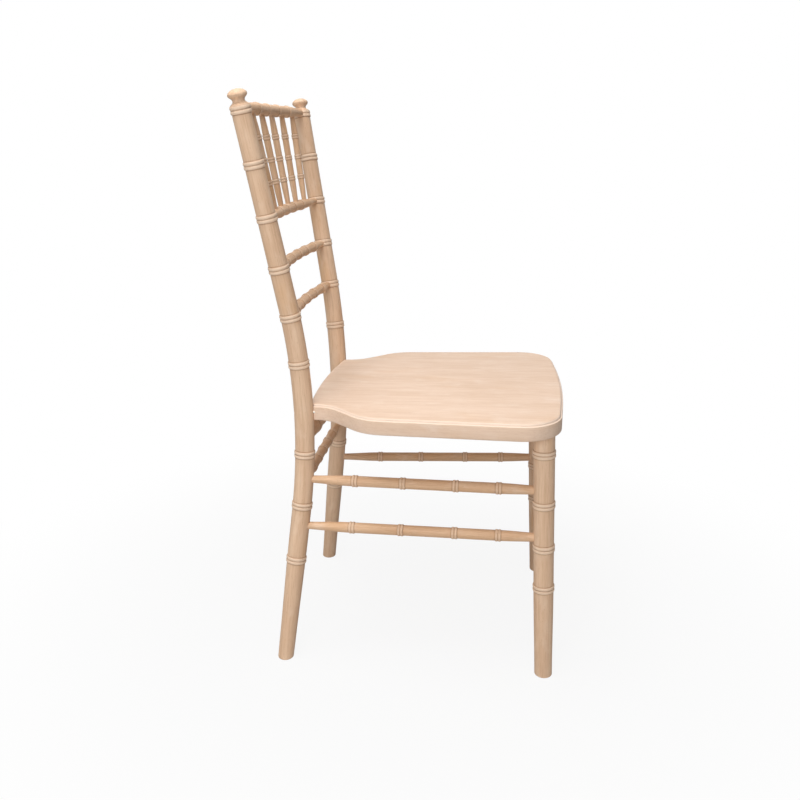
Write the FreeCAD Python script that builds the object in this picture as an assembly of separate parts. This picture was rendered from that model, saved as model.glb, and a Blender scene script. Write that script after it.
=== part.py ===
import FreeCAD, Part
import math
import os

from FreeCAD import Vector

# Chiavari chair: all-wood dining chair with bent and turned rear posts, turned front legs,
# a shaped board seat and slender turned rails, rungs and spindles.
# Every turned piece carries rings and is driven by a round tenon into a blind socket.
# Frame while modelling: millimetres, +Z up, floor at z 0, the chair faces -Y and is
# symmetric about x 0. The sitter's left is +X. At the end the whole chair is moved along Y
# so that the middle of its box is at y 0.

# Rear post: a foot point, the point where the two straight runs would meet, and a top point
post_foot_half = 180.7
post_foot_y = 33.1
post_bend_half = 131.8
post_bend_y = -15.6
post_bend_z = 428.5
post_top_half = 181.1
post_top_y = 60.35
post_top_z = 878.0
post_bend_radius = 961.0
post_foot_dia = 26.5
post_seat_dia = 31.0
post_top_dia = 27.6
post_foot_taper_z = 220.0

# Heights of the back rails where they enter the posts: the lower three in the middle of a
# post ring, the top one a little above the middle of the top ring
top_rail_z = 881.0
spindle_rail_z = 729.0
back_rail_upper_z = 654.0
back_rail_lower_z = 580.0

# Heights of the other post rings, the one over the seat measured up from the seat's top
post_rings_below_seat = (176.0, 269.0, 356.0)
post_ring_above_seat = 63.0
post_ring_beside_spindles_z = 804.0

# Finial on top of each post, measured up from the middle of the top ring
finial_neck_dia = 17.6
finial_neck_up = 10.5
finial_cap_dia = 28.2
finial_cap_widest_up = 18.6
finial_top_up = 28.0
finial_edge_drop = 3.2

# Front leg
leg_foot_half = 175.5
leg_foot_y = -398.5
leg_top_half = 170.3
leg_top_y = -379.3
leg_foot_dia = 28.6
leg_ankle_dia = 31.6
leg_top_dia = 33.0
leg_ring_heights = (159.0, 229.0, 302.0, 385.0)
leg_tenon_dia = 20.0
leg_tenon_length = 16.0

# Bevel of the foot's lower edge, on posts and legs
foot_bevel = 2.0

# Seat board: height of its top in the middle, and its fall to the rear in degrees
seat_top_z = 442.0
seat_middle_y = -210.0
seat_slope = 1.0
seat_thickness = 27.0

# Corner points of the board's half outline, from the middle of the rear edge to the middle
# of the front edge, each with the radius that rounds it
seat_rear_middle_y = 4.5
seat_rear_bow_radius = 1050.0
seat_rear_corner = (141.0, -13.0)
seat_rear_corner_radius = 3.0
seat_waist = (142.0, -44.0)
seat_waist_radius = 55.0
seat_shoulder = (203.0, -108.0)
seat_shoulder_radius = 75.0
seat_front_corner = (219.5, -401.0)
seat_front_corner_radius = 62.0
seat_front_middle_y = -417.5
seat_front_bow_radius = 1500.0
seat_lip_height = 4.0
seat_lip_inset = 3.0
seat_lip_bevel = 1.8
seat_edge_bevel = 1.2
seat_under_bevel = 2.0

# Back rails: diameters, and how far the middle bows to the rear
back_rail_dia = 15.5
back_rail_end_dia = 11.0
top_rail_dia = 17.5
top_rail_end_dia = 13.0
top_rail_bow = 7.0
spindle_rail_bow = 9.0
back_rail_bow = 10.0
top_rail_rings = (-90.0, -30.0, 30.0, 90.0)
spindle_rail_rings = (-71.0, -23.7, 23.7, 71.0)
back_rail_rings = (-96.0, -48.0, 0.0, 48.0, 96.0)

# Spindles between the top rail and the spindle rail
spindle_count = 5
spindle_pitch_top = 60.0
spindle_pitch_bottom = 47.3
spindle_dia = 10.4
spindle_end_dia = 8.0
spindle_ring_places = (0.30, 0.515, 0.735)

# Rungs below the seat
rung_dia = 15.5
rung_end_dia = 12.0
rear_stretcher_z = 308.0
rear_stretcher_rings = (-84.0, -42.0, 0.0, 42.0, 84.0)
side_rung_dia = 17.0
side_rung_rear_dia = 12.0
side_rung_front_dia = 14.0
side_rung_rear_z = {"upper": 313.0, "lower": 234.0}
side_rung_front_z = {"upper": 324.0, "lower": 244.5}
side_rung_ring_places = (0.222, 0.425, 0.645, 0.82)
front_rung_z = {"upper": 284.0, "lower": 212.0}
front_rung_rings = (-105.0, -63.0, -21.0, 21.0, 63.0, 105.0)

# Thick turned rail under the rear edge of the seat
seat_rail_z = 383.0
seat_rail_dia = 27.5
seat_rail_end_dia = 22.0
seat_rail_rings = (-80.0, -40.0, 0.0, 40.0, 80.0)

# Rings: a row of pointed beads that stands proud of the shaft
post_ring_length = 12.0
post_ring_rise = 1.5
post_ring_beads = 2
rung_ring_length = 10.0
rung_ring_rise = 1.2
rung_ring_beads = 2
spindle_ring_length = 8.0
spindle_ring_rise = 0.9

# Screws through the posts into the rear edge of the seat
screw_dia = 5.0
screw_head_dia = 9.0
screw_head_height = 2.6
screw_length = 60.0
screw_head_sink = 1.2
screw_inward_slope = 0.15
screw_point_length = 3.0

# Fits
socket_fit = 0.1
socket_floor_gap = 0.3
tenon_to_axis = 1.5
spindle_tenon_to_axis = 1.0
notch_fit = 0.3
screw_fit = 0.15
wood_between_sockets = 0.5
tenon_beyond_surface = 1.5

# Derived sizes
seat_under_z = seat_top_z - seat_thickness
post_rings = sorted(
    post_rings_below_seat
    + (seat_top_z + post_ring_above_seat, back_rail_lower_z, back_rail_upper_z)
    + (spindle_rail_z, post_ring_beside_spindles_z, post_top_z)
)

# The rear stretcher's tenon ends beside the side rung's, which reaches further into the post
rear_stretcher_to_axis = (
    side_rung_rear_dia / 2 + socket_fit + socket_floor_gap + wood_between_sockets
)


def on_seat(shape):
    # A shape made for a level board, turned to the board's slope
    turned = shape.copy()
    turned.rotate(Vector(0, seat_middle_y, seat_top_z), Vector(1, 0, 0), -seat_slope)
    return turned


def seat_height(place_y, depth):
    # Height at a depth below the top face of the sloping board
    slope = math.radians(seat_slope)
    return seat_top_z - (place_y - seat_middle_y) * math.tan(slope) - depth / math.cos(slope)


# Centre lines

class Path:
    # Two straight runs joined by one tangent arc, or one straight run where corner is left out.
    # Distances are measured along the line from its start, and both runs reach past their ends.
    def __init__(self, start, end, corner=None, radius=0.0):
        self.start = start
        self.axis = None
        self.turn = 0.0
        self.radius = radius
        self.first = (end - start).normalize()
        self.length = (end - start).Length
        self.arc_start = self.length
        self.arc_end = self.length
        if corner is not None:
            self.first = (corner - start).normalize()
            last = (end - corner).normalize()
            self.axis = self.first.cross(last).normalize()
            self.turn = self.first.getAngle(last)
            tangent = radius * math.tan(self.turn / 2)
            self.arc_start = (corner - start).Length - tangent
            self.arc_end = self.arc_start + radius * self.turn
            self.length = self.arc_end + (end - corner).Length - tangent

    def angle(self, distance):
        if self.axis is None:
            return 0.0
        return min(max((distance - self.arc_start) / self.radius, 0.0), self.turn)

    def direction(self, distance):
        return turn_vector(self.first, self.axis, self.angle(distance))

    def point(self, distance):
        if self.axis is None or distance <= self.arc_start:
            return self.start + self.first * distance
        angle = self.angle(distance)
        side = self.axis.cross(self.first)
        place = self.start + self.first * (self.arc_start + self.radius * math.sin(angle))
        place += side * (self.radius * (1 - math.cos(angle)))
        return place + self.direction(distance) * max(distance - self.arc_end, 0.0)

    def find(self, measure, value):
        # Distance at which a coordinate that grows along the path reaches the value
        low = -self.length
        high = 2 * self.length
        for _ in range(60):
            middle = (low + high) / 2
            if measure(self.point(middle)) < value:
                low = middle
            else:
                high = middle
        return middle

    def at_height(self, height):
        return self.find(lambda place: place.z, height)

    def at_x(self, value):
        return self.find(lambda place: place.x, value)


def turn_vector(vector, axis, angle):
    if axis is None:
        return Vector(vector)
    return FreeCAD.Rotation(axis, math.degrees(angle)).multVec(vector)


# Turning

def outward(shape):
    # A solid whose faces look outwards
    solid = shape.Solids[0]
    if solid.Volume < 0:
        solid.reverse()
    return solid


def joined(solids):
    if len(solids) == 1:
        return solids[0]
    return outward(solids[0].multiFuse(solids[1:]).removeSplitter())


def side_of(direction):
    # A direction square to an axis
    helper = Vector(1, 0, 0) if abs(direction.x) < 0.7 else Vector(0, 1, 0)
    return direction.cross(helper).normalize()


def lathe(base, direction, stations):
    # Straight turned stretch from (distance along the axis, radius) pairs
    side = side_of(direction)
    rim = [base + direction * along + side * radius for along, radius in stations]
    foot = base + direction * stations[0][0]
    head = base + direction * stations[-1][0]
    section = Part.Face(Part.makePolygon([foot] + rim + [head, foot]))
    return outward(section.revolve(base, direction, 360))


def bent_shaft(base, direction, axis, bend_radius, angle, radius):
    disc = Part.Face(Part.Wire(Part.makeCircle(radius, base, direction)))
    centre = base + axis.cross(direction) * bend_radius
    return outward(disc.revolve(centre, axis, math.degrees(angle)))


def radius_on(profile, distance):
    # Radius between the knots of a (distance, radius) profile
    before = profile[0]
    for knot in profile:
        if knot[0] >= distance:
            if knot[0] == before[0]:
                return knot[1]
            share = (distance - before[0]) / (knot[0] - before[0])
            return before[1] + share * (knot[1] - before[1])
        before = knot
    return before[1]


def ring_stations(start, length, beads, rise, before, after):
    width = length / beads
    middle = (before + after) / 2
    stations = []
    for bead in range(beads):
        stations.append((start + (bead + 0.5) * width, middle + rise))
        stations.append((start + (bead + 1) * width, middle))
    stations[-1] = (start + length, after)
    return stations


def turned_piece(path, profile, rings, ring_length, ring_rise, beads):
    # A ringed shaft along a path, with the place and heading of its far end. Rings are short
    # straight stretches and the bend lies between them. The shaft tapers outside the end
    # rings, and steps down inside the others.
    edges = [profile[0][0]]
    for centre in rings:
        edges += [centre - ring_length / 2, centre + ring_length / 2]
    edges.append(profile[-1][0])
    stretches = list(zip(edges[0::2], edges[1::2]))
    headings = [path.direction(centre) for centre in rings] + [path.direction(edges[-1])]
    direction = path.direction(edges[0])
    turns = []
    for heading in headings:
        turns.append(direction.getAngle(heading))
        direction = heading
    ends = []
    for number, (low, high) in enumerate(stretches):
        if number in (0, len(rings)):
            ends.append((radius_on(profile, low), radius_on(profile, high)))
        else:
            ends.append((radius_on(profile, (low + high) / 2),) * 2)

    solids = []
    base = path.point(edges[0])
    direction = path.direction(edges[0])
    run = 0.0
    stations = [(0.0, ends[0][0])]
    for number, (low, high) in enumerate(stretches):
        turn = turns[number]
        if turn < 1e-6:
            for distance, radius in profile:
                if low < distance < high:
                    stations.append((run + distance - low, radius))
            run += high - low
            stations.append((run, ends[number][1]))
        else:
            radius = ends[number][1]
            bend_low = max(low, path.arc_start)
            bend_high = min(high, path.arc_end)
            if bend_high - bend_low < 1.0:
                bend_low = low
                bend_high = high
            if bend_low > low:
                run += bend_low - low
                stations.append((run, radius))
            if len(stations) > 1:
                solids.append(lathe(base, direction, stations))
            base = base + direction * run
            bend_radius = (bend_high - bend_low) / turn
            solids.append(bent_shaft(base, direction, path.axis, bend_radius, turn, radius))
            centre = base + path.axis.cross(direction) * bend_radius
            direction = turn_vector(direction, path.axis, turn)
            base = centre - path.axis.cross(direction) * bend_radius
            run = high - bend_high
            stations = [(0.0, radius)]
            if run > 0:
                stations.append((run, radius))
        if number < len(rings):
            before = ends[number][1]
            after = ends[number + 1][0]
            stations += ring_stations(run, ring_length, beads, ring_rise, before, after)
            run += ring_length
    if len(stations) > 1:
        solids.append(lathe(base, direction, stations))
    return joined(solids), base + direction * run, direction


def plain_stretch(path, low, high, radius):
    # Round bar along part of a path
    solid, _, _ = turned_piece(path, [(low, radius), (high, radius)], [], 0, 0, 1)
    return solid


def tenoned_profile(path, start_cover, end_cover, to_axis, end_radii, shaft_radius, rings, ring_length):
    # Round tenons that stop short of the centre lines they point at, then tapers that reach
    # the full shaft at the outer rings. A cover is the radius of the piece that is entered.
    begin = to_axis
    finish = path.length - to_axis
    return [
        (begin, end_radii[0]),
        (start_cover + tenon_beyond_surface, end_radii[0]),
        (rings[0] - ring_length / 2, shaft_radius),
        (rings[-1] + ring_length / 2, shaft_radius),
        (path.length - end_cover - tenon_beyond_surface, end_radii[1]),
        (finish, end_radii[1]),
    ]


def sockets(path, profile, start_cover, end_cover):
    # Holes for the two tenons of a piece, open to just past the surface that is entered
    begin, start_radius = profile[0]
    finish, end_radius = profile[-1]
    start_length = start_cover + tenon_beyond_surface - begin + socket_floor_gap
    end_length = finish + end_cover + tenon_beyond_surface - path.length + socket_floor_gap
    start_hole = Part.makeCylinder(
        start_radius + socket_fit,
        start_length,
        path.point(begin - socket_floor_gap),
        path.direction(begin),
    )
    end_hole = Part.makeCylinder(
        end_radius + socket_fit,
        end_length,
        path.point(finish + socket_floor_gap),
        path.direction(finish) * -1,
    )
    return start_hole, end_hole


def mirrored(shape):
    return outward(shape.mirror(Vector(0, 0, 0), Vector(1, 0, 0)))


def cut(shape, tools):
    return outward(shape.cut(Part.makeCompound(tools)))


def floor_cut(shape):
    # Flat foot at the floor with its lower edge bevelled
    box = shape.BoundBox
    below = Part.makeBox(
        box.XLength + 2, box.YLength + 2, 50, Vector(box.XMin - 1, box.YMin - 1, -50)
    )
    shape = shape.cut(below)
    rim = [edge for edge in shape.Edges if edge.BoundBox.ZMax < 0.01]
    return outward(shape.makeChamfer(foot_bevel, rim))


# Rear posts

post_path = Path(
    Vector(post_foot_half, post_foot_y, 0),
    Vector(post_top_half, post_top_y, post_top_z),
    Vector(post_bend_half, post_bend_y, post_bend_z),
    post_bend_radius,
)
foot_below_floor = 8.0


def post_radius_at(height):
    knots = [
        (0.0, post_foot_dia / 2),
        (post_foot_taper_z, post_seat_dia / 2),
        (seat_top_z, post_seat_dia / 2),
        (post_top_z, post_top_dia / 2),
    ]
    return radius_on(knots, height)


def make_finial(shaft_end, up):
    # Neck and button cap above the top ring
    ring_end = post_ring_length / 2
    base = shaft_end - up * ring_end
    side = side_of(up)

    def place(along, radius):
        return base + up * along + side * radius

    neck = finial_neck_dia / 2
    cap = finial_cap_dia / 2
    edge_low = finial_cap_widest_up - finial_edge_drop
    edge_high = finial_cap_widest_up + finial_edge_drop / 2
    edge_radius = cap - 0.8
    dome_height = finial_top_up - edge_high
    dome_radius = (edge_radius ** 2 + dome_height ** 2) / (2 * dome_height)
    half_rise = dome_radius - dome_height
    half_angle = math.atan2(edge_radius, half_rise) / 2
    dome_middle = place(
        finial_top_up - dome_radius + dome_radius * math.cos(half_angle),
        dome_radius * math.sin(half_angle),
    )
    edges = [
        Part.makeLine(place(ring_end, 0), place(ring_end, post_top_dia / 2)),
        Part.makeLine(place(ring_end, post_top_dia / 2), place(finial_neck_up - 1.5, neck)),
        Part.makeLine(place(finial_neck_up - 1.5, neck), place(finial_neck_up + 1.0, neck)),
        Part.makeLine(place(finial_neck_up + 1.0, neck), place(edge_low, edge_radius)),
        Part.Arc(
            place(edge_low, edge_radius),
            place(finial_cap_widest_up - 0.8, cap),
            place(edge_high, edge_radius),
        ).toShape(),
        Part.Arc(place(edge_high, edge_radius), dome_middle, place(finial_top_up, 0)).toShape(),
        Part.makeLine(place(finial_top_up, 0), place(ring_end, 0)),
    ]
    section = Part.Face(Part.Wire(edges))
    return outward(section.revolve(base, up, 360))


def make_post():
    rings = [post_path.at_height(height) for height in post_rings]
    top = rings[-1] + post_ring_length / 2
    profile = [
        (-foot_below_floor, post_foot_dia / 2),
        (post_path.at_height(post_foot_taper_z), post_seat_dia / 2),
        (post_path.at_height(seat_top_z), post_seat_dia / 2),
        (top, post_top_dia / 2),
    ]
    shaft, shaft_end, up = turned_piece(
        post_path, profile, rings, post_ring_length, post_ring_rise, post_ring_beads
    )
    return floor_cut(joined([shaft, make_finial(shaft_end, up)]))


def post_point(height):
    return post_path.point(post_path.at_height(height))


def across(place):
    # The same point on the other side of the chair
    return Vector(-place.x, place.y, place.z)


# Front legs

leg_top_z = seat_height(leg_top_y, seat_thickness)
leg_path = Path(
    Vector(leg_foot_half, leg_foot_y, 0),
    Vector(leg_top_half, leg_top_y, leg_top_z),
)


def leg_radius_at(height):
    knots = [
        (0.0, leg_foot_dia / 2),
        (leg_ring_heights[0], leg_ankle_dia / 2),
        (leg_top_z, leg_top_dia / 2),
    ]
    return radius_on(knots, height)


def leg_point(height):
    return leg_path.point(leg_path.at_height(height))


def make_leg():
    rings = [leg_path.at_height(height) for height in leg_ring_heights]
    profile = [
        (-foot_below_floor, leg_foot_dia / 2),
        (rings[0] - post_ring_length / 2, leg_ankle_dia / 2),
        (leg_path.length + leg_tenon_dia / 2, leg_top_dia / 2),
    ]
    shaft, _, _ = turned_piece(
        leg_path, profile, rings, post_ring_length, post_ring_rise, post_ring_beads
    )
    above = on_seat(
        Part.makeBox(100, 100, 50, Vector(leg_top_half - 50, leg_top_y - 50, seat_under_z))
    )
    tenon = Part.makeCylinder(
        leg_tenon_dia / 2, leg_tenon_length + 10, leg_path.point(leg_path.length - 10), leg_path.first
    )
    return floor_cut(joined([outward(shaft.cut(above)), tenon]))


def leg_socket():
    return Part.makeCylinder(
        leg_tenon_dia / 2 + socket_fit,
        leg_tenon_length + socket_floor_gap + 10,
        leg_path.point(leg_path.length - 10),
        leg_path.first,
    )


# Seat

def rounded_polygon(corners):
    # Closed outline of lines and tangent arcs from (x, y, radius) corners
    edges = []
    count = len(corners)
    tangents = []
    for number in range(count):
        x, y, radius = corners[number]
        here = Vector(x, y, 0)
        before = Vector(*corners[number - 1][:2], 0)
        after = Vector(*corners[(number + 1) % count][:2], 0)
        to_before = (before - here).normalize()
        to_after = (after - here).normalize()
        half_angle = to_before.getAngle(to_after) / 2
        reach = radius / math.tan(half_angle)
        middle_line = (to_before + to_after).normalize()
        to_arc = radius / math.sin(half_angle) - radius
        tangents.append((here + to_before * reach, here + middle_line * to_arc, here + to_after * reach))
    for number in range(count):
        first, middle, last = tangents[number]
        edges.append(Part.Arc(first, middle, last).toShape())
        edges.append(Part.makeLine(last, tangents[(number + 1) % count][0]))
    return Part.Wire(edges)


def slab(outline, low, high, low_bevel, high_bevel):
    # Extruded outline with its lower and upper edges bevelled
    base = outline.copy()
    base.translate(Vector(0, 0, low))
    solid = Part.Face(base).extrude(Vector(0, 0, high - low))
    for height, bevel in ((low, low_bevel), (high, high_bevel)):
        if bevel > 0:
            rim = [
                edge
                for edge in solid.Edges
                if abs(edge.BoundBox.ZMin - height) < 0.01 and abs(edge.BoundBox.ZMax - height) < 0.01
            ]
            solid = solid.makeChamfer(bevel, rim)
    return outward(solid)


def seat_screw_path():
    # From the centre line of the post forwards and a little inwards, in the middle of the
    # sloping board's thickness
    start = post_point(seat_height(post_bend_y, seat_thickness / 2))
    rise = math.tan(math.radians(seat_slope))
    heading = Vector(-screw_inward_slope, -1, rise).normalize()
    return Path(start, start + heading * 100)


def make_seat():
    half = [
        (*seat_rear_corner, seat_rear_corner_radius),
        (*seat_waist, seat_waist_radius),
        (*seat_shoulder, seat_shoulder_radius),
        (*seat_front_corner, seat_front_corner_radius),
    ]
    other_half = [(-x, y, radius) for x, y, radius in reversed(half)]
    outline = rounded_polygon(
        [(0, seat_rear_middle_y, seat_rear_bow_radius)]
        + half
        + [(0, seat_front_middle_y, seat_front_bow_radius)]
        + other_half
    )
    lip_outline = Part.Face(outline).makeOffset2D(-seat_lip_inset).OuterWire
    lip_low = seat_top_z - seat_lip_height
    board = slab(outline, seat_under_z, lip_low, seat_under_bevel, seat_edge_bevel)
    lip = slab(lip_outline, lip_low - 1, seat_top_z, 0, seat_lip_bevel)
    seat = on_seat(joined([board, lip]))

    post_low = post_path.at_height(seat_under_z - seat_thickness)
    post_high = post_path.at_height(seat_top_z + seat_thickness)
    notch = plain_stretch(post_path, post_low, post_high, post_seat_dia / 2 + notch_fit)
    screw = seat_screw_path()
    pilot = Part.makeCylinder(
        screw_dia / 2 + socket_fit / 2,
        screw_length + socket_floor_gap,
        screw.point(screw_head_sink - post_seat_dia / 2),
        screw.first,
    )
    tools = [notch, leg_socket(), pilot]
    return cut(seat, tools + [mirrored(tool) for tool in tools])


# Screws

def make_screw(grow=0.0):
    # Countersunk screw with its head sunk in the back of the post; grow makes its hole
    screw = seat_screw_path()
    head = -post_seat_dia / 2 + screw_head_sink
    point = head + screw_length
    shank = screw_dia / 2 + grow
    stations = [
        (head, screw_head_dia / 2 + grow),
        (head + screw_head_height, shank),
        (point - screw_point_length, shank),
        (point, shank / 3),
    ]
    if grow > 0:
        stations.insert(0, (head - 5, screw_head_dia / 2 + grow))
    return lathe(screw.start, screw.first, stations)


# Rails and rungs

def make_rung(path, covers, rings, shaft_dia, end_dias, to_axis=tenon_to_axis):
    end_radii = [size / 2 for size in end_dias]
    profile = tenoned_profile(
        path, covers[0], covers[1], to_axis, end_radii, shaft_dia / 2, rings, rung_ring_length
    )
    solid, _, _ = turned_piece(
        path, profile, rings, rung_ring_length, rung_ring_rise, rung_ring_beads
    )
    return solid, sockets(path, profile, covers[0], covers[1])


def cross_path(place, bow=0.0, outer_ring=0.0):
    # Line from the right side to the left side through mirrored points, bowed to the rear
    if bow == 0.0:
        return Path(across(place), place)
    corner_y = place.y + bow / (1 - outer_ring / (2 * place.x))
    corner = Vector(0, corner_y, place.z)
    half_turn = math.atan2(corner_y - place.y, place.x)
    return Path(across(place), place, corner, outer_ring / math.tan(half_turn))


def centred(path, offsets):
    return [path.length / 2 + offset for offset in offsets]


def make_back_rail(height, bow, offsets, dia=back_rail_dia, end_dia=back_rail_end_dia):
    path = cross_path(post_point(height), bow, offsets[-1])
    cover = post_radius_at(height) + post_ring_rise
    rings = centred(path, offsets)
    solid, holes = make_rung(path, (cover, cover), rings, dia, (end_dia, end_dia))
    return path, solid, holes


def make_seat_rail():
    path = cross_path(post_point(seat_rail_z))
    cover = post_radius_at(seat_rail_z)
    dias = (seat_rail_end_dia, seat_rail_end_dia)
    return make_rung(path, (cover, cover), centred(path, seat_rail_rings), seat_rail_dia, dias)


def make_rear_stretcher():
    path = cross_path(post_point(rear_stretcher_z))
    cover = post_radius_at(rear_stretcher_z)
    dias = (rung_end_dia, rung_end_dia)
    rings = centred(path, rear_stretcher_rings)
    return make_rung(path, (cover, cover), rings, rung_dia, dias, rear_stretcher_to_axis)


def make_front_stretcher(level):
    height = front_rung_z[level]
    path = cross_path(leg_point(height))
    cover = leg_radius_at(height)
    dias = (rung_end_dia, rung_end_dia)
    return make_rung(path, (cover, cover), centred(path, front_rung_rings), rung_dia, dias)


def make_side_stretcher(level):
    path = Path(post_point(side_rung_rear_z[level]), leg_point(side_rung_front_z[level]))
    covers = (post_radius_at(side_rung_rear_z[level]), leg_radius_at(side_rung_front_z[level]))
    rings = [path.length * share for share in side_rung_ring_places]
    return make_rung(path, covers, rings, side_rung_dia, (side_rung_rear_dia, side_rung_front_dia))


def make_spindle(number, top_path, bottom_path):
    offset = number - (spindle_count - 1) / 2
    top = top_path.point(top_path.at_x(offset * spindle_pitch_top))
    bottom = bottom_path.point(bottom_path.at_x(offset * spindle_pitch_bottom))
    path = Path(bottom, top)
    rings = [path.length * share for share in spindle_ring_places]
    bottom_cover = back_rail_dia / 2
    top_cover = top_rail_dia / 2
    end_radii = (spindle_end_dia / 2, spindle_end_dia / 2)
    profile = tenoned_profile(
        path,
        bottom_cover,
        top_cover,
        spindle_tenon_to_axis,
        end_radii,
        spindle_dia / 2,
        rings,
        spindle_ring_length,
    )
    solid, _, _ = turned_piece(
        path, profile, rings, spindle_ring_length, spindle_ring_rise, rung_ring_beads
    )
    return solid, sockets(path, profile, bottom_cover, top_cover)


# Assembly

nodes = {}
post_holes = []
leg_holes = []

top_path, top_rail, holes = make_back_rail(
    top_rail_z, top_rail_bow, top_rail_rings, top_rail_dia, top_rail_end_dia
)
post_holes.append(holes[1])
spindle_path, spindle_rail, holes = make_back_rail(
    spindle_rail_z, spindle_rail_bow, spindle_rail_rings
)
post_holes.append(holes[1])

top_rail_holes = []
spindle_rail_holes = []
for number in range(spindle_count):
    solid, holes = make_spindle(number, top_path, spindle_path)
    nodes["spindle_%d" % (number + 1)] = solid
    spindle_rail_holes.append(holes[0])
    top_rail_holes.append(holes[1])
nodes["top_rail"] = cut(top_rail, top_rail_holes)
nodes["spindle_rail"] = cut(spindle_rail, spindle_rail_holes)

for name, height in (("upper", back_rail_upper_z), ("lower", back_rail_lower_z)):
    _, nodes["back_rail_" + name], holes = make_back_rail(height, back_rail_bow, back_rail_rings)
    post_holes.append(holes[1])

nodes["rear_seat_rail"], holes = make_seat_rail()
post_holes.append(holes[1])
nodes["rear_stretcher"], holes = make_rear_stretcher()
post_holes.append(holes[1])

for level in ("upper", "lower"):
    nodes["front_stretcher_" + level], holes = make_front_stretcher(level)
    leg_holes.append(holes[1])
    side, holes = make_side_stretcher(level)
    nodes["side_stretcher_%s_left" % level] = side
    nodes["side_stretcher_%s_right" % level] = mirrored(side)
    post_holes.append(holes[0])
    leg_holes.append(holes[1])

post_holes.append(make_screw(screw_fit))
post = cut(make_post(), post_holes)
nodes["rear_post_left"] = post
nodes["rear_post_right"] = mirrored(post)
leg = cut(make_leg(), leg_holes)
nodes["front_leg_left"] = leg
nodes["front_leg_right"] = mirrored(leg)
nodes["seat_panel"] = make_seat()
screw = make_screw()
nodes["seat_screws"] = Part.makeCompound([screw, mirrored(screw)])

# Middle of the whole box to y 0
whole = Part.makeCompound(list(nodes.values())).optimalBoundingBox(False, False)
shift = Vector(0, -(whole.YMin + whole.YMax) / 2, -whole.ZMin)

os.makedirs("parts", exist_ok=True)
for name, shape in nodes.items():
    shape.translate(shift)
    shape.exportStep("parts/%s.step" % name)
print("moved by y %.3f z %.4f" % (shift.y, shift.z))
print("size %.1f x %.1f x %.1f" % (whole.XLength, whole.YLength, whole.ZLength))
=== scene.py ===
import bpy
import bmesh
import math
import random
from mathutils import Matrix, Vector


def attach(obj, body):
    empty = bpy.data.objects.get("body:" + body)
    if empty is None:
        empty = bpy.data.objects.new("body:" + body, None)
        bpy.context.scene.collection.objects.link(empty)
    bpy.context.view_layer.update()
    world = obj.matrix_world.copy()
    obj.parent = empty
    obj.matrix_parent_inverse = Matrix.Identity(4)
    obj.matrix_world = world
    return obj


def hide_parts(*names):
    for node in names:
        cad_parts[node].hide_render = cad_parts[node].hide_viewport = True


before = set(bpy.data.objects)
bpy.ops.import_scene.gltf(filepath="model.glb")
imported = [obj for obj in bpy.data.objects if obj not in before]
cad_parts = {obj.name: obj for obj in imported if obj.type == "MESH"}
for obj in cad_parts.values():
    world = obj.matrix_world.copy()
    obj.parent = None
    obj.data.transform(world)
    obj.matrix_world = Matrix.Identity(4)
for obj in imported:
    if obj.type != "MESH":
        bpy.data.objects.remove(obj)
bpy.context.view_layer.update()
print("frame loaded:", len(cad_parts), "nodes")

# Chiavari chair in pale limewashed beech. Metres, floor at z 0, the chair faces -Y,
# the sitter's left is +X. Depths are measured from backLine, minus towards the front.
backLine = 0.168041


def place(x, depth, z):
    return Vector((x, backLine + depth, z))


# Camera

camera = dict(
    eye=place(-1.376, -0.3114, 0.8468),
    turnToRear=7.119,
    lookDown=17.631,
    lens=37.804,
    sensor=36.0,
    farthest=60.0,
)


def makeCamera():
    turn = math.radians(camera["turnToRear"])
    down = math.radians(camera["lookDown"])
    aim = Vector((math.cos(turn) * math.cos(down), math.sin(turn) * math.cos(down), -math.sin(down)))
    data = bpy.data.cameras.new("studioCamera")
    data.lens = camera["lens"]
    data.sensor_width = camera["sensor"]
    data.clip_end = camera["farthest"]
    holder = bpy.data.objects.new("studioCamera", data)
    holder.location = camera["eye"]
    holder.rotation_euler = aim.to_track_quat("-Z", "Y").to_euler()
    bpy.context.scene.collection.objects.link(holder)
    bpy.context.scene.camera = holder


# Node helpers for Geometry Nodes and materials

def addNode(tree, kind, inputs=None, **settings):
    made = tree.nodes.new(kind)
    for name, value in settings.items():
        setattr(made, name, value)
    for key, value in (inputs or {}).items():
        feed(tree, made.inputs[key], value)
    return made


def feed(tree, socket, value):
    if isinstance(value, bpy.types.NodeSocket):
        tree.links.new(value, socket)
    else:
        socket.default_value = value


def math3(tree, operation, a, b=0.0, c=0.0):
    made = addNode(tree, "ShaderNodeMath", {0: a, 1: b, 2: c}, operation=operation)
    return made.outputs[0]


def remap(tree, value, fromLow, fromHigh, toLow, toHigh, kind="LINEAR"):
    made = addNode(tree, "ShaderNodeMapRange", interpolation_type=kind)
    for socket, item in zip(made.inputs[:5], (value, fromLow, fromHigh, toLow, toHigh)):
        feed(tree, socket, item)
    return made.outputs[0]


# Turned stock: a round bar along a line, with tapered ends, bead pairs at the ring points
# and, on a rear post, the finial. The line is the edges of the mesh, the rings its loose points.

turnedInputs = (
    ("Start Radius", "NodeSocketFloat"),
    ("Shaft Radius", "NodeSocketFloat"),
    ("End Radius", "NodeSocketFloat"),
    ("Start Taper", "NodeSocketFloat"),
    ("End Taper", "NodeSocketFloat"),
    ("Ring Length", "NodeSocketFloat"),
    ("Ring Rise", "NodeSocketFloat"),
    ("Groove Depth", "NodeSocketFloat"),
    ("Foot Round", "NodeSocketFloat"),
    ("Finial Length", "NodeSocketFloat"),
    ("Finial Radius", "NodeSocketFloat"),
    ("Sides", "NodeSocketInt"),
    ("Grain Offset", "NodeSocketVector"),
    ("Finish", "NodeSocketMaterial"),
)

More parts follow.
